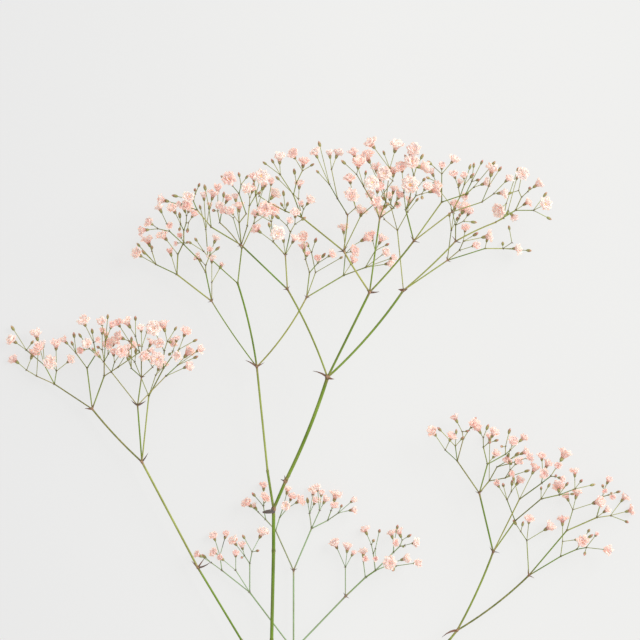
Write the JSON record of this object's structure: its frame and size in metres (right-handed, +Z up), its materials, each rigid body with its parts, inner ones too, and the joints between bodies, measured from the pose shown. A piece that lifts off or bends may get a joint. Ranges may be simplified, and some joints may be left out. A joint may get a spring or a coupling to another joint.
{
  "type": "gypsophila stem",
  "caption": "Cut stem of pink gypsophila (baby's breath) lying flat: a thin green branching stem that ends in airy clusters of tiny double flowers and buds.",
  "frame": {"origin": "centre of the footprint, on the surface that the stem lies on", "axes": "+Y along the stem from its cut end towards the flowers, +Z up from the surface, +X to the right seen from above"},
  "size_m": [0.3128, 0.4299, 0.0511],
  "materials": {
    "stem": "satin",
    "petal": "matte",
    "calyx": "matte",
    "bract": "matte"
  },
  "bodies": {
    "root": {"main_stem": "stem", "branch_right": "stem", "cyme_branch_right_01": "petal", "cyme_branch_right_02": "petal", "cyme_branch_right_03": "petal", "cyme_branch_right_04": "petal", "cyme_branch_right_05": "petal", "cyme_branch_right_06": "petal", "cyme_branch_right_07": "petal", "cyme_branch_right_08": "petal", "branch_back": "stem", "cyme_branch_back_01": "petal", "cyme_branch_back_02": "petal", "cyme_branch_back_03": "petal", "cyme_branch_back_04": "petal", "cyme_branch_back_05": "petal", "cyme_branch_back_06": "petal", "branch_left": "stem", "cyme_branch_left_01": "petal", "cyme_branch_left_02": "petal", "cyme_branch_left_03": "petal", "cyme_branch_left_04": "petal", "cyme_branch_left_05": "petal", "cyme_branch_left_06": "petal", "cyme_branch_left_07": "petal", "head_left": "stem", "cyme_head_left_01": "petal", "cyme_head_left_02": "petal", "cyme_head_left_03": "petal", "cyme_head_left_04": "petal", "cyme_head_left_05": "petal", "cyme_head_left_06": "petal", "cyme_head_left_07": "petal", "head_inner_left": "stem", "cyme_head_inner_left_01": "petal", "cyme_head_inner_left_02": "petal", "cyme_head_inner_left_03": "petal", "cyme_head_inner_left_04": "petal", "head_centre": "stem", "cyme_head_centre_01": "petal", "cyme_head_centre_02": "petal", "cyme_head_centre_03": "petal", "cyme_head_centre_04": "petal", "cyme_head_centre_05": "petal", "cyme_head_centre_06": "petal", "cyme_head_centre_07": "petal", "cyme_head_centre_08": "petal", "cyme_head_centre_09": "petal", "head_inner_right": "stem", "cyme_head_inner_right_01": "petal", "cyme_head_inner_right_02": "petal", "cyme_head_inner_right_03": "petal", "head_right": "stem", "cyme_head_right_01": "petal", "cyme_head_right_02": "petal", "cyme_head_right_03": "petal", "cyme_head_right_04": "petal"}
  },
  "joints": []
}
